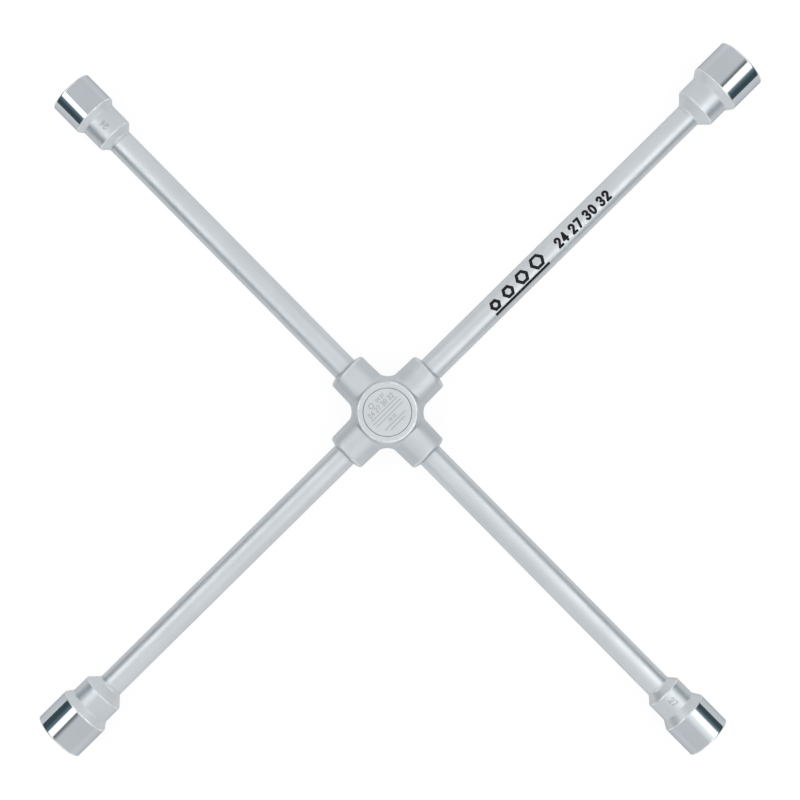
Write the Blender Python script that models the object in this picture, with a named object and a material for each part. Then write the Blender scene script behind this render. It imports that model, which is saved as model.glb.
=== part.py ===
"""Four-way wheel-nut wrench for trucks, lying flat, in metres with +Z up.

Four round bars are pinned into a forged hub. Each bar ends in a socket head with a hexagon of
its own size. The origin is the centre of the hub's rear face, which is the outer face of the
rear cover disc. +X runs along the arm with the largest hexagon, +Y along the arm with the smallest.
"""

import math
from dataclasses import dataclass

import bmesh
import bpy
from mathutils import Matrix, Vector

MM = 0.001

# Gaps that pieces keep to each other where the real ones touch.
FIT_GAP = 0.15 * MM
SEAT_GAP = 0.3 * MM
CUT_MARGIN = 1.0 * MM

# Hub, measured from its centre.
RING_HEIGHT = 18.5 * MM
RING_RADIUS = 23.0 * MM
BODY_RADIUS = 27.8 * MM
BODY_SHOULDER = 8.0 * MM
BOSS_REACH = 46.5 * MM
BOSS_RADIUS = 15.9 * MM
BOSS_ROOT_RADIUS = 17.1 * MM

# Cover discs, pressed into the hub's two faces.
DISC_RADIUS = 18.5 * MM
DISC_THICKNESS = 3.0 * MM
DISC_SUNK = 0.6 * MM

# Bars and the shouldered tangs on their inner ends.
BAR_RADIUS = 10.0 * MM
TANG_RADIUS = 8.0 * MM
TANG_SHOULDER = 30.0 * MM
TANG_TIP = 8.5 * MM

# Cross pins through the tangs.
PIN_RADIUS = 3.0 * MM
PIN_DISTANCE = 14.0 * MM

# Socket heads. The rest of a head's sizes are in its Arm.
HEX_CLEARANCE = 0.3 * MM
HEX_DEPTH_PER_FLATS = 0.75
STUD_BORE_PER_FLATS = 0.36
LEAD_IN_MARGIN = 0.3 * MM
LEAD_IN_SLOPE = math.radians(35)
DRILL_TIP_SLOPE = math.radians(31)
BORE_TO_NECK_END = 8.0 * MM

# Edge rounding.
HUB_EDGE = 1.5 * MM
HUB_SHOULDER_EDGE = 6.0 * MM
BOSS_EDGE = 2.3 * MM
DISC_EDGE = 0.5 * MM
TANG_CHAMFER = 1.0 * MM
PIN_CHAMFER = 0.5 * MM
MOUTH_EDGE = 1.0 * MM
SHOULDER_EDGE = 1.2 * MM
FOOT_FILLET = 1.5 * MM

# Facets round each kind of piece.
HEAD_SEGMENTS = 40
BAR_SEGMENTS = 24
BOSS_SEGMENTS = 32
DISC_SEGMENTS = 48
PIN_SEGMENTS = 16
FILLET_STEPS = 2

# Heights derived from the sizes above. The hub's centre lies on the axes of all four arms.
DISC_OUTER_FACE = RING_HEIGHT - DISC_SUNK
DISC_INNER_FACE = DISC_OUTER_FACE - DISC_THICKNESS
RECESS_FLOOR = DISC_INNER_FACE - SEAT_GAP
PIN_HALF_LENGTH = DISC_INNER_FACE - SEAT_GAP - FIT_GAP
ARM_AXIS_HEIGHT = DISC_OUTER_FACE

X_AXIS = (Vector((1.0, 0.0, 0.0)), Vector((0.0, 0.0, 1.0)))
Z_AXIS = (Vector((0.0, 0.0, 1.0)), Vector((1.0, 0.0, 0.0)))


@dataclass
class Arm:
    """One arm. Stations of the head are distances from its mouth, in metres."""

    flats: float
    direction: float
    length: float
    barrel_radius: float
    barrel_length: float
    neck_start: float
    neck_radius: float
    neck_end: float
    head_length: float

    @property
    def label(self):
        return str(round(self.flats / MM))


ARMS = (
    Arm(
        flats=32.0 * MM, direction=math.radians(0), length=383.0 * MM,
        barrel_radius=21.2 * MM, barrel_length=29.3 * MM,
        neck_start=35.0 * MM, neck_radius=17.2 * MM, neck_end=50.4 * MM, head_length=59.3 * MM,
    ),
    Arm(
        flats=24.0 * MM, direction=math.radians(90), length=347.0 * MM,
        barrel_radius=18.1 * MM, barrel_length=26.2 * MM,
        neck_start=30.4 * MM, neck_radius=15.0 * MM, neck_end=48.5 * MM, head_length=55.0 * MM,
    ),
    Arm(
        flats=30.0 * MM, direction=math.radians(180), length=355.4 * MM,
        barrel_radius=21.2 * MM, barrel_length=28.2 * MM,
        neck_start=33.6 * MM, neck_radius=17.2 * MM, neck_end=48.2 * MM, head_length=57.4 * MM,
    ),
    Arm(
        flats=27.0 * MM, direction=math.radians(270), length=352.0 * MM,
        barrel_radius=19.0 * MM, barrel_length=27.3 * MM,
        neck_start=33.9 * MM, neck_radius=15.0 * MM, neck_end=49.7 * MM, head_length=57.0 * MM,
    ),
)


def clear_scene():
    for thing in list(bpy.data.objects):
        bpy.data.objects.remove(thing)


def finish(name, colour, roughness):
    """A metal with the given colour and roughness."""
    material = bpy.data.materials.new(name + "_finish")
    material.use_nodes = True
    shader = material.node_tree.nodes["Principled BSDF"]
    shader.inputs["Base Color"].default_value = (*colour, 1.0)
    shader.inputs["Roughness"].default_value = roughness
    shader.inputs["Metallic"].default_value = 1.0
    material.diffuse_color = (*colour, 1.0)
    return material


def satin_chrome(name):
    return finish(name, (0.77, 0.79, 0.80), 0.32)


def polished_chrome(name):
    return finish(name, (0.82, 0.84, 0.85), 0.14)


def dark_steel(name):
    return finish(name, (0.32, 0.32, 0.33), 0.45)


def rounded(corners):
    """The outline through (along, radius, fillet) corners, with an arc at each fillet above zero."""
    points = []
    for index, (along, radius, fillet) in enumerate(corners):
        corner = Vector((along, radius))
        if fillet == 0.0:
            points.append(corner)
            continue
        back = (Vector(corners[index - 1][:2]) - corner).normalized()
        ahead = (Vector(corners[index + 1][:2]) - corner).normalized()
        half_angle = back.angle(ahead) / 2
        centre = corner + (back + ahead).normalized() * (fillet / math.sin(half_angle))
        start = corner + back * (fillet / math.tan(half_angle)) - centre
        end = corner + ahead * (fillet / math.tan(half_angle)) - centre
        for step in range(FILLET_STEPS + 1):
            points.append(centre + start.lerp(end, step / FILLET_STEPS).normalized() * fillet)
    return points


def turned_mesh(name, corners, axis, segments):
    """A solid of revolution. Its outline starts and ends on the axis."""
    along_axis, side = axis
    shape = bmesh.new()
    vertices = [shape.verts.new(along_axis * p.x + side * p.y) for p in rounded(corners)]
    edges = [shape.edges.new(pair) for pair in zip(vertices, vertices[1:])]
    bmesh.ops.spin(
        shape, geom=vertices + edges, cent=(0.0, 0.0, 0.0), axis=along_axis,
        angle=math.tau, steps=segments, use_duplicate=False,
    )
    bmesh.ops.remove_doubles(shape, verts=shape.verts, dist=0.001 * MM)
    bmesh.ops.recalc_face_normals(shape, faces=shape.faces)
    mesh = bpy.data.meshes.new(name)
    shape.to_mesh(mesh)
    shape.free()
    mesh.shade_smooth()
    mesh.set_sharp_from_angle(angle=math.radians(30))
    return mesh


def hexagon_mesh(name, flats, start, end):
    """A hexagonal prism along X, with two of its flats facing up and down."""
    shape = bmesh.new()
    along = Matrix.Translation(((start + end) / 2, 0.0, 0.0)) @ Matrix.Rotation(math.radians(90), 4, "Y")
    across = flats / 2 / math.cos(math.radians(30))
    bmesh.ops.create_cone(
        shape, cap_ends=True, segments=6, radius1=across, radius2=across,
        depth=end - start, matrix=along @ Matrix.Rotation(math.radians(30), 4, "Z"),
    )
    mesh = bpy.data.meshes.new(name)
    shape.to_mesh(mesh)
    shape.free()
    return mesh


def add_empty(name, parent, location, turn):
    empty = bpy.data.objects.new(name, None)
    bpy.context.scene.collection.objects.link(empty)
    empty.parent = parent
    empty.location = location
    empty.rotation_euler = (0.0, 0.0, turn)
    return empty


def add_piece(name, mesh, parent, location, material):
    piece = bpy.data.objects.new(name, mesh)
    bpy.context.scene.collection.objects.link(piece)
    piece.parent = parent
    piece.location = location
    mesh.materials.append(material)
    return piece


def add_guide(name, mesh, parent, location):
    """A hidden solid that a Boolean adds or takes away."""
    guide = bpy.data.objects.new(name, mesh)
    bpy.context.scene.collection.objects.link(guide)
    guide.parent = parent
    guide.location = location
    guide.hide_render = True
    guide.display_type = "WIRE"
    return guide


def combine(piece, guide, operation):
    modifier = piece.modifiers.new(guide.name, "BOOLEAN")
    modifier.operation = operation
    modifier.solver = "EXACT"
    modifier.object = guide


def boss_bar_mesh(name):
    """Two opposite bosses as one bar through the hub, with its draft running out from the middle."""
    corners = [
        (BOSS_REACH, 0.0, 0.0),
        (BOSS_REACH, BOSS_RADIUS, BOSS_EDGE),
        (0.0, BOSS_ROOT_RADIUS, 0.0),
        (-BOSS_REACH, BOSS_RADIUS, BOSS_EDGE),
        (-BOSS_REACH, 0.0, 0.0),
    ]
    return turned_mesh(name, corners, X_AXIS, BOSS_SEGMENTS)


def hub_bore_mesh(name):
    """The stepped hole for two opposite bars: wide for the bars, narrow for their tangs."""
    outer = BOSS_REACH + CUT_MARGIN
    step = TANG_SHOULDER - SEAT_GAP
    wide = BAR_RADIUS + FIT_GAP
    narrow = TANG_RADIUS + FIT_GAP
    corners = [
        (outer, 0.0, 0.0),
        (outer, wide, 0.0),
        (step, wide, 0.0),
        (step, narrow, 0.0),
        (-step, narrow, 0.0),
        (-step, wide, 0.0),
        (-outer, wide, 0.0),
        (-outer, 0.0, 0.0),
    ]
    return turned_mesh(name, corners, X_AXIS, BAR_SEGMENTS)


def add_hub(centre, pin_cutters):
    corners = [
        (RING_HEIGHT, 0.0, 0.0),
        (RING_HEIGHT, RING_RADIUS, HUB_EDGE),
        (BODY_SHOULDER, BODY_RADIUS, HUB_SHOULDER_EDGE),
        (-BODY_SHOULDER, BODY_RADIUS, HUB_SHOULDER_EDGE),
        (-RING_HEIGHT, RING_RADIUS, HUB_EDGE),
        (-RING_HEIGHT, 0.0, 0.0),
    ]
    mesh = turned_mesh("hub_forging", corners, Z_AXIS, DISC_SEGMENTS)
    hub = add_piece("hub_forging", mesh, centre, (0.0, 0.0, 0.0), satin_chrome("hub_forging"))
    for turn, line in ((0.0, "x"), (math.radians(90), "y")):
        bosses = add_guide("boss_bar_" + line, boss_bar_mesh("boss_bar_" + line), centre, (0.0, 0.0, 0.0))
        bosses.rotation_euler = (0.0, 0.0, turn)
        combine(hub, bosses, "UNION")
    for turn, line in ((0.0, "x"), (math.radians(90), "y")):
        bore = add_guide("hub_bore_" + line, hub_bore_mesh("hub_bore_" + line), centre, (0.0, 0.0, 0.0))
        bore.rotation_euler = (0.0, 0.0, turn)
        combine(hub, bore, "DIFFERENCE")
    for side, face in ((1.0, "front"), (-1.0, "rear")):
        recess_corners = [
            (side * RECESS_FLOOR, 0.0, 0.0),
            (side * RECESS_FLOOR, DISC_RADIUS + FIT_GAP, 0.0),
            (side * (RING_HEIGHT + CUT_MARGIN), DISC_RADIUS + FIT_GAP, 0.0),
            (side * (RING_HEIGHT + CUT_MARGIN), 0.0, 0.0),
        ]
        recess_mesh = turned_mesh(face + "_recess", recess_corners, Z_AXIS, DISC_SEGMENTS)
        combine(hub, add_guide(face + "_recess", recess_mesh, centre, (0.0, 0.0, 0.0)), "DIFFERENCE")
    for cutter in pin_cutters:
        combine(hub, cutter, "DIFFERENCE")


def add_cover_disc(name, centre, side):
    """A pressed-in disc. Its outer face is the one with the rounded rim."""
    corners = [
        (side * DISC_OUTER_FACE, 0.0, 0.0),
        (side * DISC_OUTER_FACE, DISC_RADIUS, DISC_EDGE),
        (side * DISC_INNER_FACE, DISC_RADIUS, 0.0),
        (side * DISC_INNER_FACE, 0.0, 0.0),
    ]
    mesh = turned_mesh(name, corners, Z_AXIS, DISC_SEGMENTS)
    add_piece(name, mesh, centre, (0.0, 0.0, 0.0), satin_chrome(name))


def pin_mesh(name, radius, half_length, chamfer):
    corners = [
        (half_length, 0.0, 0.0),
        (half_length, radius - chamfer, 0.0),
        (half_length - chamfer, radius, 0.0),
        (chamfer - half_length, radius, 0.0),
        (-half_length, radius - chamfer, 0.0),
        (-half_length, 0.0, 0.0),
    ]
    return turned_mesh(name, corners, Z_AXIS, PIN_SEGMENTS)


def add_pin(arm, arm_frame):
    name = "locking_pin_" + arm.label
    mesh = pin_mesh(name, PIN_RADIUS, PIN_HALF_LENGTH, PIN_CHAMFER)
    add_piece(name, mesh, arm_frame, (PIN_DISTANCE, 0.0, 0.0), dark_steel(name))


def add_pin_cutter(arm, arm_frame):
    name = "pin_hole_" + arm.label
    mesh = pin_mesh(name, PIN_RADIUS + FIT_GAP, RING_HEIGHT, CUT_MARGIN)
    return add_guide(name, mesh, arm_frame, (PIN_DISTANCE, 0.0, 0.0))


def add_bar(arm, arm_frame, pin_cutter):
    """The round bar with its tang, drilled for the cross pin."""
    name = "shaft_" + arm.label
    outer_end = arm.length - arm.head_length - FIT_GAP
    corners = [
        (outer_end, 0.0, 0.0),
        (outer_end, BAR_RADIUS, 0.0),
        (TANG_SHOULDER, BAR_RADIUS, 0.0),
        (TANG_SHOULDER, TANG_RADIUS, 0.0),
        (TANG_TIP + TANG_CHAMFER, TANG_RADIUS, 0.0),
        (TANG_TIP, TANG_RADIUS - TANG_CHAMFER, 0.0),
        (TANG_TIP, 0.0, 0.0),
    ]
    mesh = turned_mesh(name, corners, X_AXIS, BAR_SEGMENTS)
    bar = add_piece(name, mesh, arm_frame, (0.0, 0.0, 0.0), satin_chrome(name))
    combine(bar, pin_cutter, "DIFFERENCE")


def stud_bore_mesh(name, arm):
    """The lead-in cone at the mouth and, behind the hexagon, the bore that clears the wheel stud."""
    bore_radius = arm.flats * STUD_BORE_PER_FLATS
    bore_end = -(arm.neck_end - BORE_TO_NECK_END)
    tip_end = bore_end - bore_radius * math.tan(DRILL_TIP_SLOPE)
    hexagon_corner = (arm.flats + HEX_CLEARANCE) / 2 / math.cos(math.radians(30))
    lead_in_radius = hexagon_corner + LEAD_IN_MARGIN
    cone_end = -(lead_in_radius - bore_radius) * math.tan(LEAD_IN_SLOPE)
    outside_radius = lead_in_radius + CUT_MARGIN / math.tan(LEAD_IN_SLOPE)
    corners = [
        (CUT_MARGIN, 0.0, 0.0),
        (CUT_MARGIN, outside_radius, 0.0),
        (cone_end, bore_radius, 0.0),
        (bore_end, bore_radius, 0.0),
        (tip_end, 0.0, 0.0),
    ]
    return turned_mesh(name, corners, X_AXIS, HEAD_SEGMENTS)


def add_socket(arm, arm_frame):
    """The socket head. Its own origin is the centre of its mouth."""
    name = "socket_" + arm.label
    corners = [
        (0.0, 0.0, 0.0),
        (0.0, arm.barrel_radius, MOUTH_EDGE),
        (-arm.barrel_length, arm.barrel_radius, SHOULDER_EDGE),
        (-arm.neck_start, arm.neck_radius, FOOT_FILLET),
        (-arm.neck_end, arm.neck_radius, SHOULDER_EDGE),
        (-arm.head_length, BAR_RADIUS, 0.0),
        (-arm.head_length, 0.0, 0.0),
    ]
    mesh = turned_mesh(name, corners, X_AXIS, HEAD_SEGMENTS)
    mouth = (arm.length, 0.0, 0.0)
    head = add_piece(name, mesh, arm_frame, mouth, polished_chrome(name))
    hexagon_name = "hexagon_" + arm.label
    hexagon_depth = arm.flats * HEX_DEPTH_PER_FLATS
    hexagon = hexagon_mesh(hexagon_name, arm.flats + HEX_CLEARANCE, -hexagon_depth, CUT_MARGIN)
    combine(head, add_guide(hexagon_name, hexagon, arm_frame, mouth), "DIFFERENCE")
    bore_name = "stud_bore_" + arm.label
    combine(head, add_guide(bore_name, stud_bore_mesh(bore_name, arm), arm_frame, mouth), "DIFFERENCE")


def build():
    clear_scene()
    centre = add_empty("wrench_centre", None, (0.0, 0.0, ARM_AXIS_HEIGHT), 0.0)
    pin_cutters = []
    for arm in ARMS:
        arm_frame = add_empty("arm_" + arm.label, centre, (0.0, 0.0, 0.0), arm.direction)
        pin_cutter = add_pin_cutter(arm, arm_frame)
        pin_cutters.append(pin_cutter)
        add_pin(arm, arm_frame)
        add_bar(arm, arm_frame, pin_cutter)
        add_socket(arm, arm_frame)
    add_hub(centre, pin_cutters)
    add_cover_disc("front_cover_disc", centre, 1.0)
    add_cover_disc("rear_cover_disc", centre, -1.0)


build()
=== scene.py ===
"""The finished look of the four-way wheel-nut wrench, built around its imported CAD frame.

Every visible piece replaces its CAD node at the same place and size, with finer surfaces. Each arm
is modelled along +X in a frame of its own, which is then turned to the arm's direction.
"""

import math
from dataclasses import dataclass

import bmesh
import bpy
import numpy as np
from mathutils import Matrix, Vector


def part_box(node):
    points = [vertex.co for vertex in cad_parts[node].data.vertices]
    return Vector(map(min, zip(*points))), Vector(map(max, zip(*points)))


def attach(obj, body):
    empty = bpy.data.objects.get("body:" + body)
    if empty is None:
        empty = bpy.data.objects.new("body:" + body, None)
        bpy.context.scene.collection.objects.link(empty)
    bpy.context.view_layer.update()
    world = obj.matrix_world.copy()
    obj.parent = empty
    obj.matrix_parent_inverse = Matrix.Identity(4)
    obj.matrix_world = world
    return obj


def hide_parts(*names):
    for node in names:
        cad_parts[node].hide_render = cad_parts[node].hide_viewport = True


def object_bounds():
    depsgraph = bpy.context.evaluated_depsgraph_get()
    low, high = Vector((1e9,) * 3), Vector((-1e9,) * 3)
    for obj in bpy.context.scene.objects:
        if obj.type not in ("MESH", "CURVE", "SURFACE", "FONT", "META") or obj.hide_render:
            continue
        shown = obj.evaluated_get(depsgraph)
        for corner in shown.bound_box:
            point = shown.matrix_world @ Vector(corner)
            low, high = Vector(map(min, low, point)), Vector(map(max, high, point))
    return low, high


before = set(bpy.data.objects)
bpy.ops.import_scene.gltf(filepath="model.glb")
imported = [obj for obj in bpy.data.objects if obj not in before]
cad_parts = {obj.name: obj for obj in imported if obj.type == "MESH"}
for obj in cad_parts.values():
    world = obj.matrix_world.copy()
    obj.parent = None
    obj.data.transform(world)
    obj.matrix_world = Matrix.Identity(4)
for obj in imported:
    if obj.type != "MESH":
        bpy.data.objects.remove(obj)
cad_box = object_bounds()

MM = 0.001

# Sizes that the frame's boxes don't give, as in the CAD source.
RING_HEIGHT = 18.5 * MM
RING_RADIUS = 23.0 * MM
BODY_RADIUS = 27.8 * MM
BODY_SHOULDER = 8.0 * MM
BOSS_RADIUS = 15.9 * MM
BOSS_ROOT_RADIUS = 17.1 * MM
HUB_BORE_RADIUS = 10.15 * MM
TANG_BORE_RADIUS = 8.15 * MM
TANG_RADIUS = 8.0 * MM
TANG_SHOULDER = 30.0 * MM
TANG_SHOULDER_GAP = 0.3 * MM
RECESS_GAP = 0.15 * MM
RECESS_FLOOR = 14.6 * MM
HEX_CLEARANCE = 0.3 * MM
HEX_DEPTH_PER_FLATS = 0.75
STUD_BORE_PER_FLATS = 0.36
BORE_TO_NECK_END = 8.0 * MM
PIN_DISTANCE = 14.0 * MM
PIN_HOLE_RADIUS = 3.15 * MM

# Fineness of the visible meshes.
ROUND_SEGMENTS = 128
ROUGH_SEGMENTS = 64
PIN_HOLE_SEGMENTS = 32
FILLET_STEPS = 6
HUB_VOXEL = 0.6 * MM
SHARP_ANGLE = math.radians(32)
# Points closer than WELD are one point, and Boolean leftovers narrower than SLIVER go.
WELD = 0.0001 * MM
SLIVER = 0.008 * MM
# How far a bar stops short of its head, and how far a cutter stands out of what it cuts.
HAIRLINE = 0.001 * MM
CUT_MARGIN = 1.0 * MM

X_AXIS = (Vector((1.0, 0.0, 0.0)), Vector((0.0, 0.0, 1.0)))
Z_AXIS = (Vector((0.0, 0.0, 1.0)), Vector((1.0, 0.0, 0.0)))

# The picture's own right and up directions on the floor. The arms lie close to its diagonals.
VIEW_TURN = math.radians(-44.63)
VIEW_RIGHT = Vector((math.cos(VIEW_TURN), math.sin(VIEW_TURN), 0.0))
VIEW_UP = Vector((-math.sin(VIEW_TURN), math.cos(VIEW_TURN), 0.0))


@dataclass
class Arm:
    """One arm. Stations of the head are distances from its mouth, in metres.

    stamp_side is 1.0 where the size is stamped on the upper side, and -1.0 where it is underneath.
    """

    label: str
    turn: float
    barrel_length: float
    neck_start: float
    neck_radius: float
    neck_end: float
    stamp_side: float
    # Whether the head's cones get a lighter colour: painted light standing in for the light bands on them.
    painted_light_cones: bool

    def extent(self, node):
        """How far out a node of this arm starts and ends."""
        low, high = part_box(node)
        out = Matrix.Rotation(self.turn, 3, "Z") @ Vector((1.0, 0.0, 0.0))
        return sorted((low.dot(out), high.dot(out)))

    @property
    def flats(self):
        return int(self.label) * MM

    @property
    def length(self):
        return self.extent("socket_" + self.label)[1]

    @property
    def head_length(self):
        start, end = self.extent("socket_" + self.label)
        return end - start

    @property
    def barrel_radius(self):
        low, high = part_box("socket_" + self.label)
        return (high.z - low.z) / 2

    @property
    def tang_tip(self):
        return self.extent("shaft_" + self.label)[0]


ARMS = (
    Arm("32", math.radians(0), 29.3 * MM, 35.0 * MM, 17.2 * MM, 50.4 * MM, -1.0, True),
    Arm("24", math.radians(90), 26.2 * MM, 30.4 * MM, 15.0 * MM, 48.5 * MM, 1.0, True),
    Arm("30", math.radians(180), 28.2 * MM, 33.6 * MM, 17.2 * MM, 48.2 * MM, -1.0, True),
    Arm("27", math.radians(270), 27.3 * MM, 33.9 * MM, 15.0 * MM, 49.7 * MM, 1.0, False),
)

bar_low, bar_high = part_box("shaft_32")
BAR_RADIUS = (bar_high.z - bar_low.z) / 2
AXIS_HEIGHT = (bar_high.z + bar_low.z) / 2
BOSS_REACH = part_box("hub_forging")[1].x
disc_low, disc_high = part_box("front_cover_disc")
DISC_RADIUS = (disc_high.x - disc_low.x) / 2
DISC_TOP = disc_high.z - AXIS_HEIGHT
DISC_UNDERSIDE = disc_low.z - AXIS_HEIGHT


# ---------------------------------------------------------------- materials

# Outward curvature, in 1/m, from where an edge starts to brighten to where it is fully bright, and the
# most that is stored, so that the brightening stays close to an edge. The brighter edges are partly
# wear and partly painted highlight on the rounder fillets.
WEAR_AND_HIGHLIGHT_CURVATURE = (350.0, 900.0)
CURVATURE_LIMIT = 1000.0
CURVATURE_SPACING = 0.02 * MM
SHORTEST_WORN_AND_HIGHLIT_EDGE = 0.22 * MM
# Noise scales are per metre.
WEAR_AND_HIGHLIGHT_PATCHES = 180.0
TONE_CLOUDS = 45.0
TONE_SWING = (0.975, 1.02)
GLOSS_DRIFT = 70.0
WEAR_AND_HIGHLIGHT_POLISH = 0.35
GRAIN_STRENGTH = 0.35
TURNING_STRENGTH = 0.3
TURNING_STRETCH = (9000.0, 6.0, 6.0)
INK_SPECKLE = 2600.0
INK_CLOUDS = 900.0
INK_GRAIN = 4000.0
# How far a normal leans along X, from where a fillet starts to look like a cone to a cone's own
# lean, and how much rougher the cones are. The lean also sets where the cones' painted light, a lighter
# colour, comes in.
CONE_LEAN = (0.1, 0.5)
CONE_DULLNESS = 0.16
# How much the plating reflects at a glancing angle, against a perfect metal.
EDGE_TINT = (0.62, 0.64, 0.66, 1.0)


class Nodes:
    """Short calls for a material's node tree."""

    def __init__(self, name):
        self.material = bpy.data.materials.new(name)
        self.material.use_nodes = True
        self.tree = self.material.node_tree
        self.shader = self.tree.nodes["Principled BSDF"]

    def add(self, kind, **settings):
        node = self.tree.nodes.new(kind)
        for key, value in settings.items():
            setattr(node, key, value)
        return node

    def link(self, source, target):
        self.tree.links.new(source, target)

    def place(self, stretch=(1.0, 1.0, 1.0)):
        """The point in the piece's own frame, stretched."""
        coordinates = self.add("ShaderNodeTexCoord")
        mapping = self.add("ShaderNodeMapping")
        mapping.inputs["Scale"].default_value = stretch
        self.link(coordinates.outputs["Object"], mapping.inputs["Vector"])
        return mapping.outputs["Vector"]

    def noise(self, scale, detail=2.0, stretch=(1.0, 1.0, 1.0)):
        node = self.add("ShaderNodeTexNoise")
        node.inputs["Scale"].default_value = scale
        node.inputs["Detail"].default_value = detail
        self.link(self.place(stretch), node.inputs["Vector"])
        return node.outputs["Fac"]

    def ramp(self, source, low, high, start=0.0, end=1.0):
        """source from start to end, mapped to low to high."""
        node = self.add("ShaderNodeMapRange")
        node.inputs["From Min"].default_value = start
        node.inputs["From Max"].default_value = end
        node.inputs["To Min"].default_value = low
        node.inputs["To Max"].default_value = high
        self.link(source, node.inputs["Value"])
        return node.outputs["Result"]

    def combine(self, operation, first, second):
        node = self.add("ShaderNodeMath", operation=operation)
        for index, value in enumerate((first, second)):
            if isinstance(value, float):
                node.inputs[index].default_value = value
            else:
                self.link(value, node.inputs[index])
        return node.outputs["Value"]

    def mix_colours(self, factor, first, second):
        node = self.add("ShaderNodeMix", data_type="RGBA")
        self.link(factor, node.inputs["Factor"])
        for name, value in (("A", first), ("B", second)):
            socket = next(s for s in node.inputs if s.name == name and s.type == "RGBA")
            if isinstance(value, tuple):
                socket.default_value = (*value, 1.0)
            else:
                self.link(value, socket)
        return next(s for s in node.outputs if s.type == "RGBA")

    def bump(self, height, strength, distance, base=None):
        node = self.add("ShaderNodeBump")
        node.inputs["Strength"].default_value = strength
        node.inputs["Distance"].default_value = distance
        self.link(height, node.inputs["Height"])
        if base is not None:
            self.link(base, node.inputs["Normal"])
        return node.outputs["Normal"]

    def lean(self):
        """Zero where the surface runs along the piece's own X, and one on the cones of a head. It places the
        cones' painted light.
        """
        coordinates = self.add("ShaderNodeTexCoord")
        split = self.add("ShaderNodeSeparateXYZ")
        self.link(coordinates.outputs["Normal"], split.inputs["Vector"])
        return self.ramp(self.combine("ABSOLUTE", split.outputs["X"], 0.0), 0.0, 1.0, *CONE_LEAN)

    def edge_wear_and_highlight(self):
        """One on tight outward edges and fillets, broken up by noise, and zero on flat and gently round
        ground. It marks wear, and painted highlight on the fillets.
        """
        curvature = self.add("ShaderNodeAttribute", attribute_name="edge_curvature")
        edges = self.ramp(curvature.outputs["Fac"], 0.0, 1.0, *WEAR_AND_HIGHLIGHT_CURVATURE)
        patches = self.ramp(self.noise(WEAR_AND_HIGHLIGHT_PATCHES, 3.0), 0.25, 1.0, 0.35, 0.6)
        return self.combine("MULTIPLY", edges, patches)


def metal(name, colour, worn_and_highlit_colour, roughness, spread, grain, grain_depth, turning=0.0, cone_painted_light=None):
    """Plated metal: a fine grain, slow drifts of gloss, turning lines round X and bright edges, partly worn
    and partly painted highlight.

    The roughness drifts up and down by spread. grain is the grain's scale, and grain_depth and
    turning are depths in metres. Where cone_painted_light is given, cones round X have it as a lighter
    colour, painted light, and are duller (rougher).
    """
    nodes = Nodes(name)
    shader = nodes.shader
    shader.inputs["Metallic"].default_value = 1.0
    shader.inputs["Specular Tint"].default_value = EDGE_TINT
    wear_and_highlight = nodes.edge_wear_and_highlight()
    darker, lighter = TONE_SWING
    tone = nodes.mix_colours(
        nodes.ramp(nodes.noise(TONE_CLOUDS, 4.0), 0.0, 1.0, 0.3, 0.7),
        tuple(c * darker for c in colour),
        tuple(c * lighter for c in colour),
    )
    drift = nodes.ramp(nodes.noise(GLOSS_DRIFT, 3.0), roughness - spread, roughness + spread, 0.3, 0.7)
    # Painted light: the cones take a lighter colour, set by which way the surface faces.
    if cone_painted_light:
        lean = nodes.lean()
        tone = nodes.mix_colours(lean, tone, cone_painted_light)
        drift = nodes.combine("ADD", drift, nodes.combine("MULTIPLY", lean, CONE_DULLNESS))
    # Edges and tight fillets take the brighter colour: partly wear, partly painted highlight.
    nodes.link(nodes.mix_colours(wear_and_highlight, tone, worn_and_highlit_colour), shader.inputs["Base Color"])
    polish = nodes.combine("MULTIPLY", wear_and_highlight, roughness * WEAR_AND_HIGHLIGHT_POLISH)
    nodes.link(nodes.combine("SUBTRACT", drift, polish), shader.inputs["Roughness"])
    normal = nodes.bump(nodes.noise(grain, 3.0), GRAIN_STRENGTH, grain_depth)
    if turning > 0.0:
        lines = nodes.noise(1.0, 4.0, stretch=TURNING_STRETCH)
        normal = nodes.bump(lines, TURNING_STRENGTH, turning, normal)
    nodes.link(normal, shader.inputs["Normal"])
    return nodes.material


def ink():
    """Pad-printed black, slightly thin and speckled."""
    nodes = Nodes("printed_black_ink")
    speckle = nodes.ramp(nodes.noise(INK_SPECKLE, 4.0), 0.0, 1.0, 0.35, 0.7)
    colour = nodes.mix_colours(speckle, (0.006, 0.006, 0.007), (0.018, 0.018, 0.02))
    nodes.link(colour, nodes.shader.inputs["Base Color"])
    nodes.shader.inputs["Specular IOR Level"].default_value = 0.1
    nodes.link(nodes.ramp(nodes.noise(INK_CLOUDS), 0.42, 0.6), nodes.shader.inputs["Roughness"])
    nodes.link(nodes.bump(nodes.noise(INK_GRAIN), 0.2, 0.02 * MM), nodes.shader.inputs["Normal"])
    return nodes.material


# The brighter colour on edges and tight fillets: partly worn plating, partly painted highlight.
BRIGHT = (0.80, 0.82, 0.84)
HUB_CHROME = metal("hub_satin_chrome", (0.575, 0.605, 0.63), BRIGHT, 0.52, 0.05, 1500.0, 0.07 * MM)
DISC_CHROME = metal("disc_blasted_chrome", (0.62, 0.65, 0.67), BRIGHT, 0.46, 0.05, 1100.0, 0.14 * MM)
BAR_CHROME = metal(
    "bar_satin_chrome", (0.60, 0.63, 0.655), BRIGHT, 0.47, 0.03, 2200.0, 0.03 * MM, turning=0.006 * MM
)
HEAD_FINISH = ((0.57, 0.60, 0.625), BRIGHT, 0.47, 0.04, 2000.0, 0.05 * MM, 0.008 * MM)
HEAD_CHROME = metal("head_satin_chrome", *HEAD_FINISH)
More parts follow.
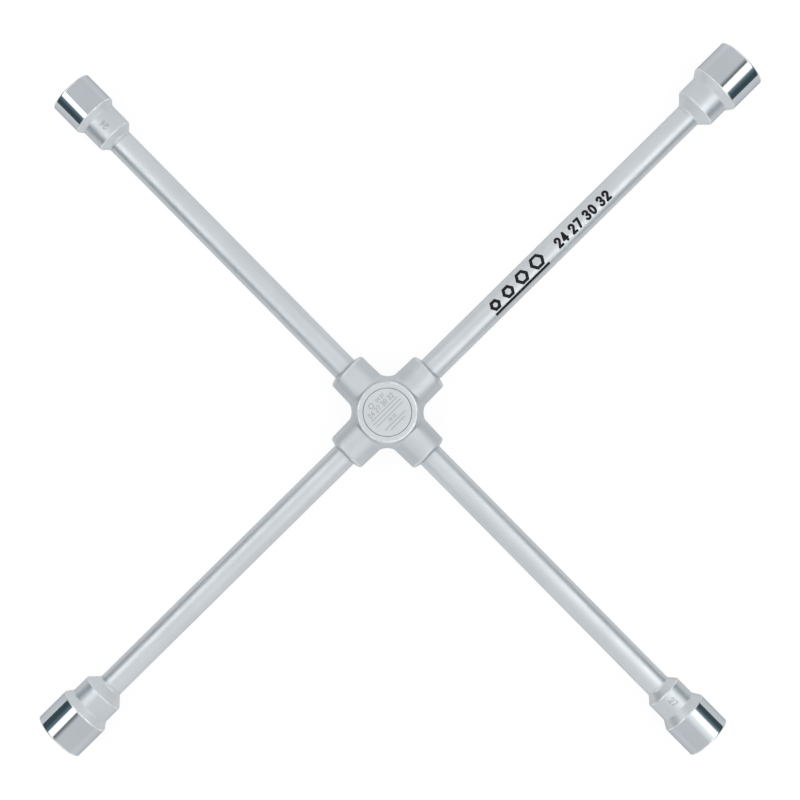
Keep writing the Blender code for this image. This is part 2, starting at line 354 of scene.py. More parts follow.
# The same finish with painted light on the cones: a lighter colour where the surface leans like a cone.
PAINTED_LIGHT_CONES_CHROME = metal("head_satin_chrome_dull_cones", *HEAD_FINISH, cone_painted_light=(0.65, 0.68, 0.70))
BARREL_CHROME = metal(
    "barrel_polished_chrome", (0.49, 0.525, 0.555), BRIGHT, 0.075, 0.02, 3000.0, 0.002 * MM,
    turning=0.001 * MM,
)
BORE_CHROME = metal("bore_dull_chrome", (0.56, 0.57, 0.58), (0.70, 0.71, 0.72), 0.36, 0.08, 900.0, 0.08 * MM)
# Painted shade: the darker colour of the sunk marks on the discs and of the stamps on the necks.
MARK_SHADE_CHROME = metal("mark_painted_shade_chrome", (0.47, 0.485, 0.495), (0.62, 0.63, 0.64), 0.5, 0.05, 900.0, 0.05 * MM)
PIN_STEEL = metal("pin_steel", (0.30, 0.30, 0.31), (0.5, 0.5, 0.5), 0.42, 0.06, 1200.0, 0.05 * MM)
INK = ink()


# ---------------------------------------------------------------- shapes


def rounded(corners):
    """The outline through (along, radius, fillet) corners, with an arc at each fillet above zero.

    A point just outside each end of an arc keeps the flat stretch next to it flat when shaded.
    """
    points = []
    for index, (along, radius, fillet) in enumerate(corners):
        corner = Vector((along, radius))
        if fillet == 0.0:
            points.append(corner)
            continue
        back = (Vector(corners[index - 1][:2]) - corner).normalized()
        ahead = (Vector(corners[index + 1][:2]) - corner).normalized()
        half_angle = back.angle(ahead) / 2
        centre = corner + (back + ahead).normalized() * (fillet / math.sin(half_angle))
        reach = fillet / math.tan(half_angle)
        start = corner + back * reach - centre
        end = corner + ahead * reach - centre
        support = fillet * 0.2
        points.append(corner + back * (reach + support))
        for step in range(FILLET_STEPS + 1):
            points.append(centre + start.lerp(end, step / FILLET_STEPS).normalized() * fillet)
        points.append(corner + ahead * (reach + support))
    return points


def turned_mesh(name, corners, axis, segments=ROUND_SEGMENTS):
    """A solid of revolution. Its outline starts and ends on the axis."""
    along_axis, side = axis
    shape = bmesh.new()
    vertices = [shape.verts.new(along_axis * p.x + side * p.y) for p in rounded(corners)]
    edges = [shape.edges.new(pair) for pair in zip(vertices, vertices[1:])]
    bmesh.ops.spin(
        shape, geom=vertices + edges, cent=(0.0, 0.0, 0.0), axis=along_axis,
        angle=math.tau, steps=segments, use_duplicate=False,
    )
    bmesh.ops.remove_doubles(shape, verts=shape.verts, dist=WELD)
    bmesh.ops.recalc_face_normals(shape, faces=shape.faces)
    return to_mesh(name, shape)


def to_mesh(name, shape):
    mesh = bpy.data.meshes.new(name)
    shape.to_mesh(mesh)
    shape.free()
    return mesh


def new_object(name, mesh):
    thing = bpy.data.objects.new(name, mesh)
    bpy.context.scene.collection.objects.link(thing)
    return thing


def evaluated_mesh(thing):
    """The object's mesh with its modifiers applied."""
    graph = bpy.context.evaluated_depsgraph_get()
    return bpy.data.meshes.new_from_object(thing.evaluated_get(graph))


def clean(mesh):
    """Cuts the mesh into triangles and takes out the slivers that Boolean steps leave."""
    shape = bmesh.new()
    shape.from_mesh(mesh)
    for _ in range(3):
        bmesh.ops.triangulate(shape, faces=shape.faces)
        bmesh.ops.dissolve_degenerate(shape, dist=SLIVER, edges=shape.edges)
        bmesh.ops.remove_doubles(shape, verts=shape.verts, dist=SLIVER)
        folded = {}
        for face in shape.faces:
            folded.setdefault(frozenset(face.verts), []).append(face)
        doubled = [face for faces in folded.values() if len(faces) > 1 for face in faces]
        bmesh.ops.delete(shape, geom=doubled, context="FACES")
    bmesh.ops.holes_fill(shape, edges=[edge for edge in shape.edges if edge.is_boundary], sides=6)
    bmesh.ops.triangulate(shape, faces=shape.faces)
    shape.to_mesh(mesh)
    shape.free()


def carve(mesh, steps):
    """The mesh after a row of Boolean steps of (operation, mesh), in one frame."""
    clean(mesh)
    piece = new_object("carving", mesh)
    operands = []
    for number, (operation, operand_mesh) in enumerate(steps):
        operand = new_object(f"carving_{number}", operand_mesh)
        operands.append(operand)
        modifier = piece.modifiers.new(operand.name, "BOOLEAN")
        modifier.operation = operation
        modifier.solver = "EXACT"
        modifier.object = operand
    result = evaluated_mesh(piece)
    for thing in (piece, *operands):
        bpy.data.objects.remove(thing)
    clean(result)
    return result


def smooth(mesh):
    mesh.shade_smooth()
    mesh.set_sharp_from_angle(angle=SHARP_ANGLE)


def mark_edges(mesh, stamped):
    """Stores how sharply the surface bends outward at each point, for the bright edges: wear and painted
    highlight.

    Places where stamped(place) is true have none, because stamped marks don't wear bright and get no painted
    highlight. Very short edges count as marks too.
    """
    shape = bmesh.new()
    shape.from_mesh(mesh)
    values = np.zeros(len(shape.verts), np.float32)
    for edge in shape.edges:
        if len(edge.link_faces) != 2 or edge.calc_length() < SHORTEST_WORN_AND_HIGHLIT_EDGE:
            continue
        first, second = edge.link_faces
        spacing = (first.calc_center_median() - second.calc_center_median()).length
        bend = edge.calc_face_angle_signed(0.0) / max(spacing, CURVATURE_SPACING)
        for vertex in edge.verts:
            if not stamped(vertex.co):
                values[vertex.index] = max(values[vertex.index], min(bend, CURVATURE_LIMIT))
    shape.free()
    layer = mesh.attributes.new("edge_curvature", "FLOAT", "POINT")
    layer.data.foreach_set("value", values)


def paint(mesh, materials, choose):
    """Gives each face the material whose number choose(centre, normal) returns."""
    mesh.materials.clear()
    for material in materials:
        mesh.materials.append(material)
    numbers = [choose(face.center, face.normal) for face in mesh.polygons]
    mesh.polygons.foreach_set("material_index", numbers)


def finish_piece(name, mesh, matrix, node, stamped=lambda place: False):
    """Puts a finished mesh in place, in the stead of its CAD node."""
    smooth(mesh)
    mark_edges(mesh, stamped)
    piece = new_object(name, mesh)
    piece.matrix_world = matrix
    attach(piece, "root")
    if node:
        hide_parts(node)
    return piece


def arm_matrix(arm, distance=0.0):
    turned = Matrix.Rotation(arm.turn, 4, "Z")
    return Matrix.Translation((0.0, 0.0, AXIS_HEIGHT)) @ turned @ Matrix.Translation((distance, 0.0, 0.0))


def hexagon_outline(flats, corner_radius, steps=6):
    """A hexagon with two flats across Y, and rounded corners, as (y, z) points."""
    points = []
    inner = flats / 2 / math.cos(math.radians(30)) - corner_radius / math.cos(math.radians(30))
    for corner in range(6):
        middle = math.radians(60 * corner)
        centre = Vector((math.cos(middle), math.sin(middle))) * inner
        for step in range(steps + 1):
            angle = middle + math.radians(-30 + 60 * step / steps)
            points.append(centre + Vector((math.cos(angle), math.sin(angle))) * corner_radius)
    return points


def prism_mesh(name, outline, start, end):
    """An outline of (y, z) points drawn out along X."""
    shape = bmesh.new()
    ring = [shape.verts.new((start, p.x, p.y)) for p in outline]
    face = shape.faces.new(ring)
    moved = bmesh.ops.extrude_face_region(shape, geom=[face])["geom"]
    bmesh.ops.translate(
        shape, vec=(end - start, 0.0, 0.0), verts=[v for v in moved if isinstance(v, bmesh.types.BMVert)]
    )
    bmesh.ops.recalc_face_normals(shape, faces=shape.faces)
    return to_mesh(name, shape)


# ---------------------------------------------------------------- digits and marks


def arc(x, y, reach_x, reach_y, start, end, steps=14):
    """Points on an ellipse round x and y, from start to end in degrees."""
    angles = [math.radians(start + (end - start) * step / steps) for step in range(steps + 1)]
    return [(x + reach_x * math.cos(a), y + reach_y * math.sin(a)) for a in angles]


# The middle lines of the digits in use, in a box one wide and one high.
DIGITS = {
    "0": arc(0.5, 0.5, 0.5, 0.5, 0, 360, 28),
    "2": arc(0.5, 0.72, 0.5, 0.28, 180, -25) + [(0.0, 0.0), (1.0, 0.0)],
    "3": arc(0.5, 0.75, 0.46, 0.25, 160, -90) + arc(0.5, 0.25, 0.5, 0.25, 90, -160),
    "4": [(0.72, 0.0), (0.72, 1.0), (0.0, 0.28), (1.0, 0.28)],
    "7": [(0.0, 1.0), (1.0, 1.0), (0.35, 0.0)],
}
# Widths of a digit's middle line, of the gap after a digit and of a space, per height of the digits.
DIGIT_WIDTH = 0.38
DIGIT_GAP = 0.08
SPACE_WIDTH = 0.28
# How close an outline's point may come to either end of the cell side that it lies on.
CELL_PARTS = (0.15, 0.85)
FLAT_WELD = 0.002 * MM


def add_stroke(shape, line, width, cell):
    """Adds the flat area within half of width of a line of points, made of small cells."""
    line = np.array(line)
    low = line.min(axis=0) - width / 2 - cell
    count = np.ceil((line.max(axis=0) + width / 2 + cell - low) / cell).astype(int) + 1
    columns, rows = (low[axis] + cell * np.arange(count[axis]) for axis in (0, 1))
    grid = np.stack(np.meshgrid(columns, rows, indexing="ij"), axis=-1)
    distance = np.full(grid.shape[:2], np.inf)
    for start, end in zip(line[:-1], line[1:]):
        along = end - start
        part = np.clip(((grid - start) @ along) / max(along @ along, 1e-12), 0.0, 1.0)
        distance = np.minimum(distance, np.linalg.norm(grid - start - part[..., None] * along, axis=-1))
    distance -= width / 2
    known = {}

    def vertex(first, second):
        """The vertex at the first grid point, or where the outline crosses from it to the second."""
        key = tuple(sorted((first, second)))
        if key not in known:
            before, after = distance[key[0]], distance[key[1]]
            part = 0.0 if key[0] == key[1] else float(np.clip(before / (before - after), *CELL_PARTS))
            place = grid[key[0]] * (1.0 - part) + grid[key[1]] * part
            known[key] = shape.verts.new((*place, 0.0))
        return known[key]

    for i in range(count[0] - 1):
        for j in range(count[1] - 1):
            corners = ((i, j), (i + 1, j), (i + 1, j + 1), (i, j + 1))
            outline = []
            for here, after in zip(corners, corners[1:] + corners[:1]):
                if distance[here] < 0.0:
                    outline.append(vertex(here, here))
                if (distance[here] < 0.0) != (distance[after] < 0.0):
                    outline.append(vertex(here, after))
            if len(outline) > 2:
                shape.faces.new(outline)


def add_digits(shape, text, height, width, x, y, cell):
    """Adds digits of that height, drawn in a stroke of that width, centred on x and y."""
    reach = DIGIT_WIDTH * height
    steps = {character: reach + width + DIGIT_GAP * height for character in DIGITS}
    steps[" "] = SPACE_WIDTH * height
    left = x - (sum(steps[c] for c in text) - DIGIT_GAP * height - width) / 2
    for character in text:
        if character in DIGITS:
            line = [(left + reach * i, y + (height - width) * (j - 0.5)) for i, j in DIGITS[character]]
            add_stroke(shape, line, width, cell)
        left += steps[character]


def add_ring(shape, flats, width, x, y):
    """Adds a flat hexagon outline, like a nut seen from above."""
    rings = []
    for half in (flats / 2, flats / 2 - width):
        reach = half / math.cos(math.radians(30))
        angles = [math.radians(60 * corner) for corner in range(6)]
        corners = [(x + reach * math.cos(a), y + reach * math.sin(a), 0.0) for a in angles]
        rings.append([shape.verts.new(corner) for corner in corners])
    outer, inner = rings
    for corner in range(6):
        after = (corner + 1) % 6
        shape.faces.new((outer[corner], outer[after], inner[after], inner[corner]))


def add_rule(shape, length, width, x, y):
    """Adds a flat straight line along X, centred on x and y."""
    corners = ((-1, -1), (1, -1), (1, 1), (-1, 1))
    shape.faces.new([shape.verts.new((x + length / 2 * i, y + width / 2 * j, 0.0)) for i, j in corners])


def clean_flat(shape):
    """Cuts a flat drawing into triangles that all face up."""
    bmesh.ops.remove_doubles(shape, verts=shape.verts, dist=FLAT_WELD)
    bmesh.ops.triangulate(shape, faces=shape.faces)
    for face in shape.faces:
        if face.normal.z < 0.0:
            face.normal_flip()


def wrap_round_bar(shape, radius):
    """Bends a strip that lies along X round a bar of that radius. Heights stay heights over the bar."""
    for vertex in shape.verts:
        angle = vertex.co.y / radius
        reach = radius + vertex.co.z
        vertex.co.y = reach * math.sin(angle)
        vertex.co.z = reach * math.cos(angle)


def slice_across(shape, reach, spacing):
    """Cuts the faces along lines parallel to X, so that they can bend."""
    steps = int(reach / spacing)
    for number in range(-steps, steps + 1):
        bmesh.ops.bisect_plane(
            shape, geom=shape.verts[:] + shape.edges[:] + shape.faces[:], dist=WELD,
            plane_co=(0.0, number * spacing, 0.0), plane_no=(0.0, 1.0, 0.0),
        )


def extrude_wrapped(shape, low, high, radius, spacing):
    """A flat drawing as a thin closed skin round a bar, from height low to height high over it."""
    clean_flat(shape)
    reach = max(abs(v.co.y) for v in shape.verts)
    slice_across(shape, reach, spacing)
    bmesh.ops.triangulate(shape, faces=shape.faces)
    faces = shape.faces[:]
    moved = bmesh.ops.extrude_face_region(shape, geom=faces)["geom"]
    lifted = [v for v in moved if isinstance(v, bmesh.types.BMVert)]
    for vertex in shape.verts:
        vertex.co.z = low
    for vertex in lifted:
        vertex.co.z = high
    bmesh.ops.recalc_face_normals(shape, faces=shape.faces)
    wrap_round_bar(shape, radius)


# ---------------------------------------------------------------- hub


def round_intersection(a, b, radius):
    """Signed distance to what two solids share, with a rounded edge where they meet."""
    corner = np.hypot(np.maximum(radius + a, 0.0), np.maximum(radius + b, 0.0))
    return np.minimum(-radius, np.maximum(a, b)) + corner


def round_union(a, b, radius):
    """Signed distance to two solids together, with a fillet where they meet."""
    corner = np.hypot(np.maximum(radius - a, 0.0), np.maximum(radius - b, 0.0))
    return np.maximum(radius, np.minimum(a, b)) - corner


RING_EDGE = 0.9 * MM
SHOULDER_EDGE = 4.0 * MM
BOSS_EDGE = 1.6 * MM
BOSS_END_DISH = math.radians(16)
# The fillet between bosses and body narrows to the ring's over this stretch of height.
BOSS_FILLET = 2.9 * MM
RING_FILLET = 1.2 * MM
NARROWING_START = 10.0 * MM
NARROWING_RISE = 6.5 * MM
SEAM_CHAMFER = 0.45 * MM
RECESS_EDGE = 0.25 * MM
LEAST_STEEPNESS = 0.2
FACING_UP = 0.99
RING_SKIN = 0.05 * MM


def boss_distance(along, across, height):
    """Signed distance to a pair of opposite bosses, with draft, dished ends and rounded rims."""
    reach = np.abs(along)
    radius = np.hypot(across, height)
    draft = (BOSS_ROOT_RADIUS - BOSS_RADIUS) / BOSS_REACH
    side = radius - (BOSS_ROOT_RADIUS - draft * reach)
    flat_end = reach - BOSS_REACH
    lip = HUB_BORE_RADIUS + SEAM_CHAMFER
    dished_end = flat_end * math.cos(BOSS_END_DISH) + (radius - lip) * math.sin(BOSS_END_DISH)
    return round_intersection(side, np.maximum(flat_end, dished_end), BOSS_EDGE)


def hub_distance(points):
    """Signed distance to the forging's outside, before any hole is cut."""
    x, y, z = points.T
    height = np.abs(z)
    radius = np.hypot(x, y)
    lean = math.atan2(BODY_RADIUS - RING_RADIUS, RING_HEIGHT - BODY_SHOULDER)
    flank = (radius - RING_RADIUS) * math.cos(lean) + (height - RING_HEIGHT) * math.sin(lean)
    body = round_intersection(radius - BODY_RADIUS, flank, SHOULDER_EDGE)
    body = round_intersection(body, height - RING_HEIGHT, RING_EDGE)
    bosses = np.minimum(boss_distance(x, y, z), boss_distance(y, x, z))
    rise = np.clip((height - NARROWING_START) / NARROWING_RISE, 0.0, 1.0)
    return round_union(body, bosses, BOSS_FILLET + (RING_FILLET - BOSS_FILLET) * rise)


def settle_on_surface(mesh, distance, rounds=6, step=0.02 * MM):
    """Moves every point of a mesh onto the surface where distance is zero."""
    points = np.empty(len(mesh.vertices) * 3, np.float32)
    mesh.vertices.foreach_get("co", points)
    points = points.reshape(-1, 3).astype(float)
    for _ in range(rounds):
        slope = np.empty_like(points)
        for axis in range(3):
            shift = np.zeros(3)
            shift[axis] = step
            slope[:, axis] = (distance(points + shift) - distance(points - shift)) / (2 * step)
        steepness = np.maximum((slope**2).sum(axis=1), LEAST_STEEPNESS)
        points -= (distance(points) / steepness)[:, None] * slope
    mesh.vertices.foreach_set("co", points.astype(np.float32).ravel())
    mesh.update()


def hub_blank():
    """The forging's outside as one fine skin."""
    shape = bmesh.new()
    body_corners = [
        (RING_HEIGHT, 0.0, 0.0), (RING_HEIGHT, RING_RADIUS, 0.0), (BODY_SHOULDER, BODY_RADIUS, 0.0),
        (-BODY_SHOULDER, BODY_RADIUS, 0.0), (-RING_HEIGHT, RING_RADIUS, 0.0), (-RING_HEIGHT, 0.0, 0.0),
    ]
    boss_corners = [
        (BOSS_REACH, 0.0, 0.0), (BOSS_REACH, BOSS_RADIUS, 0.0),
        (-BOSS_REACH, BOSS_RADIUS, 0.0), (-BOSS_REACH, 0.0, 0.0),
    ]
    shape.from_mesh(turned_mesh("body", body_corners, Z_AXIS, ROUGH_SEGMENTS))
    for turn in (0.0, math.radians(90)):
        bosses = turned_mesh("bosses", boss_corners, X_AXIS, ROUGH_SEGMENTS)
        bosses.transform(Matrix.Rotation(turn, 4, "Z"))
        shape.from_mesh(bosses)
    rough = new_object("hub_rough", to_mesh("hub_rough", shape))
    remesh = rough.modifiers.new("skin", "REMESH")
    remesh.mode = "VOXEL"
    remesh.voxel_size = HUB_VOXEL
    mesh = evaluated_mesh(rough)
    bpy.data.objects.remove(rough)
    settle_on_surface(mesh, hub_distance)
    return mesh


def hub_bore(turn):
    """The stepped hole for two opposite bars, with a small chamfer at each mouth."""
    outer = BOSS_REACH + CUT_MARGIN
    inner = BOSS_REACH - SEAM_CHAMFER
    corners = [
        (outer, 0.0, 0.0), (outer, HUB_BORE_RADIUS + SEAM_CHAMFER + CUT_MARGIN, 0.0),
        (inner, HUB_BORE_RADIUS, 0.0), (TANG_SHOULDER, HUB_BORE_RADIUS, 0.0),
        (TANG_SHOULDER, TANG_BORE_RADIUS, 0.0), (-TANG_SHOULDER, TANG_BORE_RADIUS, 0.0),
        (-TANG_SHOULDER, HUB_BORE_RADIUS, 0.0), (-inner, HUB_BORE_RADIUS, 0.0),
        (-outer, HUB_BORE_RADIUS + SEAM_CHAMFER + CUT_MARGIN, 0.0), (-outer, 0.0, 0.0),
    ]
    mesh = turned_mesh("hub_bore", corners, X_AXIS)
    mesh.transform(Matrix.Rotation(turn, 4, "Z"))
    return mesh


def hub_recess(side):
    """The seat of a cover disc, with a broken edge."""
    radius = DISC_RADIUS + RECESS_GAP
    top = side * (RING_HEIGHT + CUT_MARGIN)
    corners = [
        (side * RECESS_FLOOR, 0.0, 0.0), (side * RECESS_FLOOR, radius, 0.0),
        (side * (RING_HEIGHT - RECESS_EDGE), radius, 0.0),
        (top, radius + RECESS_EDGE + CUT_MARGIN, 0.0), (top, 0.0, 0.0),
    ]
    return turned_mesh("hub_recess", corners, Z_AXIS)


def pin_hole(turn):
    """The hole for an arm's cross pin, through the hub and the bar's tang."""
    corners = [
        (RING_HEIGHT, 0.0, 0.0), (RING_HEIGHT, PIN_HOLE_RADIUS, 0.0),
        (-RING_HEIGHT, PIN_HOLE_RADIUS, 0.0), (-RING_HEIGHT, 0.0, 0.0),
    ]
    mesh = turned_mesh("pin_hole", corners, Z_AXIS, PIN_HOLE_SEGMENTS)
    mesh.transform(Matrix.Rotation(turn, 4, "Z") @ Matrix.Translation((PIN_DISTANCE, 0.0, 0.0)))
    return mesh


def build_hub():
    cuts = [("DIFFERENCE", hub_bore(turn)) for turn in (0.0, math.radians(90))]
    cuts += [("DIFFERENCE", hub_recess(side)) for side in (1.0, -1.0)]
    cuts += [("DIFFERENCE", pin_hole(arm.turn)) for arm in ARMS]
    mesh = carve(hub_blank(), cuts)

    def choose(centre, normal):
        """The flat ring faces have the discs' finish."""
        on_ring = abs(normal.z) > FACING_UP and abs(centre.z) > RING_HEIGHT - RING_SKIN
        return 1 if on_ring else 0

    paint(mesh, (HUB_CHROME, DISC_CHROME), choose)
    place = Matrix.Translation((0.0, 0.0, AXIS_HEIGHT))
    finish_piece("hub", mesh, place, "hub_forging")


# ---------------------------------------------------------------- cover discs

DISC_EDGE = 0.45 * MM
MARK_DEPTH = 0.25 * MM
MARK_TOLERANCE = 0.01 * MM
MARKED_RADIUS = DISC_RADIUS - 0.7 * MM
# A nut outline: size across flats, width of the line, x and y.
DISC_NUT = (4.4 * MM, 0.8 * MM, -5.6 * MM, 12.0 * MM)
# Rows of sizes: digits, height, width of the stroke, x, y and fineness.
DISC_SIZES = (
    ("24 27", 2.9 * MM, 0.55 * MM, 3.6 * MM, 12.0 * MM, 0.1 * MM),
    ("24 27 30 32", 4.4 * MM, 0.75 * MM, 0.0, 7.1 * MM, 0.12 * MM),
    ("30 32", 2.6 * MM, 0.5 * MM, 0.0, -5.5 * MM, 0.1 * MM),
)
# Rules: length and y.
DISC_RULES = (
    (27.0 * MM, 3.2 * MM), (29.0 * MM, 0.4 * MM), (28.0 * MM, -2.4 * MM),
    (22.0 * MM, -8.6 * MM), (15.0 * MM, -11.4 * MM),
)
RULE_WIDTH = 0.75 * MM


def disc_marks():
    """What is cut away for the marks: a nut outline, rows of sizes in digits, and rules, along X."""
    shape = bmesh.new()
    add_ring(shape, *DISC_NUT)
    for row in DISC_SIZES:
        add_digits(shape, *row)
    for length, y in DISC_RULES:
        add_rule(shape, length, RULE_WIDTH, 0.0, y)
    clean_flat(shape)
    moved = bmesh.ops.extrude_face_region(shape, geom=shape.faces[:])["geom"]
    for vertex in shape.verts:
        vertex.co.z = DISC_TOP - MARK_DEPTH
    for vertex in moved:
        if isinstance(vertex, bmesh.types.BMVert):
            vertex.co.z = DISC_TOP + CUT_MARGIN
    bmesh.ops.recalc_face_normals(shape, faces=shape.faces)
    return to_mesh("marks", shape)


def build_cover_disc(name, turn_over):
    """A flat disc with a rounded edge and sunk marks."""
    corners = [
        (DISC_TOP, 0.0, 0.0), (DISC_TOP, DISC_RADIUS, DISC_EDGE),
        (DISC_UNDERSIDE, DISC_RADIUS, 0.0), (DISC_UNDERSIDE, 0.0, 0.0),
    ]
    mesh = carve(turned_mesh(name, corners, Z_AXIS), [("DIFFERENCE", disc_marks())])

    def choose(centre, normal):
        """The marks' floors and sides get a darker, duller colour than the disc: painted shade in the sunk
        marks.
        """
        sunk = DISC_TOP - MARK_DEPTH * 1.5 < centre.z < DISC_TOP - MARK_TOLERANCE
        return 1 if sunk and math.hypot(centre.x, centre.y) < MARKED_RADIUS else 0

    paint(mesh, (DISC_CHROME, MARK_SHADE_CHROME), choose)
    place = Matrix.Translation((0.0, 0.0, AXIS_HEIGHT)) @ turn_over
    finish_piece(name + "_stamped", mesh, place, name, lambda place: True)


# ---------------------------------------------------------------- bars

SHOULDER_EDGE_OF_BAR = 0.4 * MM
TANG_EDGE = 1.0 * MM


def build_bar(arm):
    """The bar with its tang. Its outer end meets the head's inner end at a hairline."""
    outer = arm.length - arm.head_length - HAIRLINE
    shoulder = TANG_SHOULDER + TANG_SHOULDER_GAP
    corners = [
        (outer, 0.0, 0.0), (outer, BAR_RADIUS, 0.0),
        (shoulder, BAR_RADIUS, SHOULDER_EDGE_OF_BAR), (shoulder, TANG_RADIUS, 0.0),
        (arm.tang_tip, TANG_RADIUS, TANG_EDGE), (arm.tang_tip, 0.0, 0.0),
    ]
    mesh = carve(turned_mesh("bar", corners, X_AXIS), [("DIFFERENCE", pin_hole(0.0))])
    paint(mesh, (BAR_CHROME,), lambda centre, normal: 0)
    finish_piece("bar_" + arm.label, mesh, arm_matrix(arm), "shaft_" + arm.label)


# ---------------------------------------------------------------- socket heads

LEAD_IN_MARGIN = 0.3 * MM
LEAD_IN_SLOPE = math.radians(35)
DRILL_TIP_SLOPE = math.radians(31)
BORE_CORNER_FILLET = 1.0 * MM
HEX_CORNER_RADIUS = 0.8 * MM
# Fillets of the outline, from the mouth to the bar.
MOUTH_FILLET = 1.1 * MM
BARREL_FILLET = 1.6 * MM
NECK_START_FILLET = 2.6 * MM
NECK_END_FILLET = 1.8 * MM
COLLAR_FILLET = 3.0 * MM
COLLAR_LENGTH = 1.6 * MM
# The polish stops this far short of the barrel's end.
POLISH_MARGIN = 1.3 * MM
STAMP_DEPTH = 0.3 * MM
STAMP_HEIGHT = 5.4 * MM
STAMP_STROKE = 0.9 * MM
STAMP_CELL = 0.14 * MM
STAMP_SLICES = 0.5 * MM
# The stretch of the neck without bright edges (wear and painted highlight) ends this far short of the neck's
# own ends.
UNWORN_UNHIGHLIT_MARGIN = 1.0 * MM
# How far a face points away from its head's axis: under INWARD it faces the axis, and under
# NOT_OUTWARD it doesn't clearly face away from it.
INWARD = -0.2
NOT_OUTWARD = 0.5
FACE_TOLERANCE = 0.01 * MM
STAMP_TOLERANCE = 0.05 * MM
INSIDE_MARGIN = 1.0 * MM


def stud_bore(arm):
    """The lead-in cone at the mouth and, behind the hexagon, the bore that clears the wheel stud."""
    radius = arm.flats * STUD_BORE_PER_FLATS
    end = -(arm.neck_end - BORE_TO_NECK_END)
    corner = (arm.flats + HEX_CLEARANCE) / 2 / math.cos(math.radians(30))
    lead_in = corner + LEAD_IN_MARGIN
    cone_end = -(lead_in - radius) * math.tan(LEAD_IN_SLOPE)
    corners = [
        (CUT_MARGIN, 0.0, 0.0), (CUT_MARGIN, lead_in + CUT_MARGIN / math.tan(LEAD_IN_SLOPE), 0.0),
        (cone_end, radius, 0.0), (end, radius, BORE_CORNER_FILLET),
        (end - radius * math.tan(DRILL_TIP_SLOPE), 0.0, 0.0),
    ]
    return turned_mesh("stud_bore", corners, X_AXIS)


def size_stamp(arm):
    """The size in digits, sunk into the neck on its upper or its lower side."""
    shape = bmesh.new()
    middle = -(arm.neck_start + arm.neck_end) / 2
    add_digits(shape, arm.label, STAMP_HEIGHT, STAMP_STROKE, 0.0, 0.0, STAMP_CELL)
    extrude_wrapped(shape, -STAMP_DEPTH, CUT_MARGIN, arm.neck_radius, STAMP_SLICES)
    bmesh.ops.translate(shape, vec=(middle, 0.0, 0.0), verts=shape.verts)
    if arm.stamp_side < 0.0:
        bmesh.ops.rotate(
            shape, cent=(0.0, 0.0, 0.0), matrix=Matrix.Rotation(math.pi, 3, "X"), verts=shape.verts
        )
    return to_mesh("stamp", shape)


def build_head(arm):
    """The two-step socket head with its hexagon."""
    corners = [
        (0.0, 0.0, 0.0), (0.0, arm.barrel_radius, MOUTH_FILLET),
        (-arm.barrel_length, arm.barrel_radius, BARREL_FILLET),
        (-arm.neck_start, arm.neck_radius, NECK_START_FILLET),
        (-arm.neck_end, arm.neck_radius, NECK_END_FILLET),
        (-arm.head_length + COLLAR_LENGTH, BAR_RADIUS, COLLAR_FILLET),
        (-arm.head_length, BAR_RADIUS, 0.0), (-arm.head_length, 0.0, 0.0),
    ]
    depth = arm.flats * HEX_DEPTH_PER_FLATS
    outline = hexagon_outline(arm.flats + HEX_CLEARANCE, HEX_CORNER_RADIUS)
    cuts = [
        ("DIFFERENCE", prism_mesh("hexagon", outline, -depth, CUT_MARGIN)),
        ("DIFFERENCE", stud_bore(arm)),
        ("DIFFERENCE", size_stamp(arm)),
    ]
    mesh = carve(turned_mesh("head", corners, X_AXIS), cuts)
    polished_edge = -arm.barrel_length + POLISH_MARGIN
    barrel, outside, bore, mark = range(4)

    def choose(centre, normal):
        """The stamp, then the bore, then the polished barrel with the mouth, then the rest."""
        radius = math.hypot(centre.y, centre.z)
        outward = (centre.y * normal.y + centre.z * normal.z) / max(radius, HAIRLINE)
        behind_mouth = centre.x < -FACE_TOLERANCE
        inside = centre.x > -arm.neck_end and radius < arm.neck_radius - INSIDE_MARGIN
        from_stamp = abs(centre.x + (arm.neck_start + arm.neck_end) / 2)
        sunk = arm.neck_radius - 1.5 * STAMP_DEPTH < radius < arm.neck_radius - STAMP_TOLERANCE
        # The stamp's floor and sides get the darker colour: painted shade.
        if sunk and from_stamp < STAMP_HEIGHT:
            return mark
        if inside and outward < NOT_OUTWARD and behind_mouth:
            return bore
        if not behind_mouth or (centre.x > polished_edge and outward > INWARD):
            return barrel
        return bore if outward < INWARD else outside

    def stamped(place):
        """Whether a place is on the straight part of the neck, where the stamp is."""
        return -arm.neck_end + UNWORN_UNHIGHLIT_MARGIN < place.x < -arm.neck_start - UNWORN_UNHIGHLIT_MARGIN

    # Painted light on the cones for every head but the 27.
    outside_chrome = PAINTED_LIGHT_CONES_CHROME if arm.painted_light_cones else HEAD_CHROME
    paint(mesh, (BARREL_CHROME, outside_chrome, BORE_CHROME, MARK_SHADE_CHROME), choose)
    place = arm_matrix(arm, arm.length)
    finish_piece("head_" + arm.label, mesh, place, "socket_" + arm.label, stamped)


# ---------------------------------------------------------------- printed marks

# Distances along the bar, sizes across it, and heights over it.
PRINT_START = 111.5 * MM
PRINT_NUTS = (8.6 * MM, 9.6 * MM, 10.6 * MM, 11.6 * MM)
PRINT_NUT_WALL = 2.5 * MM
PRINT_NUT_GAP = 3.6 * MM
PRINT_NUT_FOOT = -3.9 * MM
PRINT_RULE = -6.0 * MM
PRINT_RULE_WIDTH = 2.3 * MM
PRINT_DIGITS = 210.0 * MM
PRINT_DIGITS_MIDDLE = 0.4 * MM
PRINT_DIGITS_HEIGHT = 9.1 * MM
PRINT_STROKE = 2.05 * MM
PRINT_CELL = 0.2 * MM
PRINT_SLICES = 0.7 * MM
PRINT_LOW = 0.006 * MM
PRINT_HIGH = 0.03 * MM


